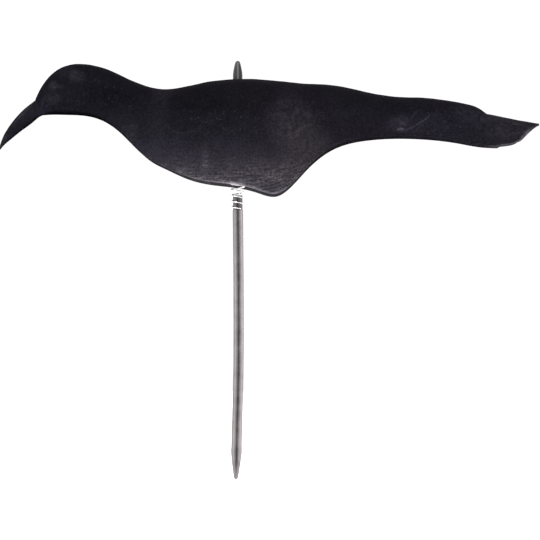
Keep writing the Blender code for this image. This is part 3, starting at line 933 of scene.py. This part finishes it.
def build_pin(material):
    """The upper pin: foot in the spring, stop, shaft, collar under the back, blunt pointed nose."""
    stop = SPRING_END + SPRING_PITCH * SPRING_TURNS + WIRE_RADIUS + GAP
    collar = inner_top_near_pin(COLLAR_RADIUS) - GAP
    profile = [
        (PIN_FOOT, PIN_FOOT_RADIUS - 0.5), (PIN_FOOT + 0.6, PIN_FOOT_RADIUS), (stop, PIN_FOOT_RADIUS),
        (stop + 0.1, STOP_RADIUS), (stop + STOP_HEIGHT, STOP_RADIUS), (stop + STOP_HEIGHT + 1.5, PIN_RADIUS),
        (collar - COLLAR_HEIGHT - 2.0, PIN_RADIUS), (collar - COLLAR_HEIGHT, COLLAR_RADIUS),
        (collar, COLLAR_RADIUS), (collar + 0.1, PIN_RADIUS)]
    steps = 24
    for i in range(steps):
        share = i / steps
        height = PIN_TIP - PIN_NOSE_LENGTH * (1.0 - share)
        profile.append((height, nose_radius(share)))
    profile.append((PIN_TIP, 0.4))
    levels = [(AXIS_X, z, radius) for z, radius in spaced_levels(profile, LEVEL_STEP)]
    mesh = finned_mesh("upper_pin", levels, PIN_TURN)
    obj = make_object("upper_pin", mesh, [material])
    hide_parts("top_pin")
    return obj


def spring_radius(z):
    """Radius of the coil's centre line at a height."""
    share = float(smooth_step(z, *SPRING_FLARE))
    return SPRING_LOWER_RADIUS + share * (SPRING_UPPER_RADIUS - SPRING_LOWER_RADIUS)


def build_spring(material):
    """The coil: a round wire along a left-handed helix."""
    steps = SPRING_TURNS * STEPS_PER_TURN
    path = []
    for i in range(steps + 1):
        turns = i / STEPS_PER_TURN
        z = SPRING_END + SPRING_PITCH * turns
        angle = math.radians(SPRING_START) - 2.0 * math.pi * turns
        radius = spring_radius(z)
        path.append(Vector((AXIS_X + radius * math.cos(angle), radius * math.sin(angle), z)))
    rings = []
    for i, point in enumerate(path):
        along = (path[min(i + 1, steps)] - path[max(i - 1, 0)]).normalized()
        away = Vector((point.x - AXIS_X, point.y, 0.0)).normalized()
        upward = along.cross(away).normalized()
        away = upward.cross(along).normalized()
        ring = []
        for j in range(WIRE_SIDES):
            turn = 2.0 * math.pi * j / WIRE_SIDES
            ring.append(tuple(point + WIRE_RADIUS * (away * math.cos(turn) + upward * math.sin(turn))))
        rings.append(ring)
    obj = make_object("coil_spring", mesh_of_rings("coil_spring", rings), [material])
    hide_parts("spring")
    return obj


# A level camera in front of the bird's left side, far enough away for the photograph's mild perspective.
VIEW_WIDTH = 0.45144
CAMERA_DISTANCE = 2.2
CAMERA_X = 0.02617
CAMERA_Z = 0.06496
SENSOR_WIDTH = 36.0
FLOOR_RADIUS = 1.6
FLOOR_DROP = 0.0004

# Brightness of the surround and the floor: as they are seen, and as they light the object.
SEEN = 1.05
FLOOR_LIGHT = 0.30
SURROUND_LIGHT = 0.42

# Square lamps: name, place, the place that they point at, and watts.
LAMP_SIZE = 1.0
LAMPS = (
    ("key", (-1.5, -1.9, 0.7), (0.0, 0.0, 0.1), 32.0), ("fill", (1.8, -0.9, 0.4), (0.0, 0.0, 0.1), 4.0),
    ("back", (0.5, 2.2, 0.3), (0.0, 0.0, 0.15), 26.0))


def add_camera():
    data = bpy.data.cameras.new("camera")
    data.sensor_width = SENSOR_WIDTH
    data.lens = SENSOR_WIDTH * CAMERA_DISTANCE / VIEW_WIDTH
    data.clip_start = 0.01
    data.clip_end = 50.0
    camera = bpy.data.objects.new("camera", data)
    camera.location = (CAMERA_X, -CAMERA_DISTANCE, CAMERA_Z)
    camera.rotation_euler = (math.radians(90.0), 0.0, 0.0)
    bpy.context.scene.collection.objects.link(camera)
    bpy.context.scene.camera = camera


def add_floor():
    """A pale, softly glowing floor just under the stake's point."""
    mesh = bpy.data.meshes.new("floor")
    bm = bmesh.new()
    bmesh.ops.create_circle(bm, cap_ends=True, segments=96, radius=FLOOR_RADIUS)
    bmesh.ops.translate(bm, verts=bm.verts, vec=(0.0, 0.0, STAKE_TIP * MM - FLOOR_DROP))
    bm.to_mesh(mesh)
    bm.free()
    floor = bpy.data.objects.new("floor", mesh)
    bpy.context.scene.collection.objects.link(floor)
    graph = Graph("pale_floor", Roughness=0.9, Specular_IOR_Level=0.1)
    paper = graph.noise(graph.place(), 90.0, 4.0)
    base = graph.mix(paper, colour(0.86, 0.86, 0.86), colour(0.92, 0.92, 0.92))
    graph.shader.inputs["Emission Color"].default_value = colour(1.0, 1.0, 1.0)
    graph.join(graph.shader.inputs["Emission Strength"], seen_or_lit(graph.tree, SEEN, FLOOR_LIGHT))
    mesh.materials.append(graph.finish(base, None, graph.bump(paper, 0.0002, 0.2)))


def add_lamp(name, place, target, watts):
    data = bpy.data.lights.new(name, "AREA")
    data.shape = "SQUARE"
    data.size = LAMP_SIZE
    data.energy = watts
    light = bpy.data.objects.new(name, data)
    light.location = place
    light.rotation_euler = (Vector(target) - Vector(place)).to_track_quat("-Z", "Y").to_euler()
    light.visible_camera = False
    bpy.context.scene.collection.objects.link(light)


def seen_or_lit(tree, seen, lit):
    """A value that is seen directly or in a reflection, and another that lights the object."""
    path = tree.nodes.new("ShaderNodeLightPath")
    direct = tree.nodes.new("ShaderNodeMath")
    direct.operation = "MAXIMUM"
    tree.links.new(path.outputs["Is Camera Ray"], direct.inputs[0])
    tree.links.new(path.outputs["Is Glossy Ray"], direct.inputs[1])
    choice = tree.nodes.new("ShaderNodeMapRange")
    choice.inputs["To Min"].default_value = lit
    choice.inputs["To Max"].default_value = seen
    tree.links.new(direct.outputs["Value"], choice.inputs["Value"])
    return choice.outputs["Result"]


def add_world():
    """A white surround behind the object, dimmer as a light than it looks."""
    world = bpy.data.worlds.new("surround")
    world.use_nodes = True
    tree = world.node_tree
    background = tree.nodes["Background"]
    background.inputs["Color"].default_value = colour(1.0, 1.0, 1.0)
    tree.links.new(seen_or_lit(tree, SEEN, SURROUND_LIGHT), background.inputs["Strength"])
    bpy.context.scene.world = world


scene = bpy.context.scene
scene.view_settings.view_transform = "Standard"
add_camera()
add_floor()
add_world()
for lamp in LAMPS:
    add_lamp(*lamp)

build_shell([
    flock_material(), bare_material("beak_plastic", 0.02, 160.0, 0.8, 1.2),
    bare_material("cut_edge", 0.0, 300.0, 0.7, 1.3), bare_material("inner_plastic", 0.04, 120.0, 0.8, 1.2)])
# The dark groove colours of the stake and the pin are painted shade.
build_stake(moulded_material("stake_plastic", colour(0.065, 0.055, 0.058), colour(0.50, 0.46, 0.47)))
build_pin(moulded_material("pin_plastic", colour(0.016, 0.015, 0.016), colour(0.155, 0.146, 0.152)))
build_spring(wire_material())
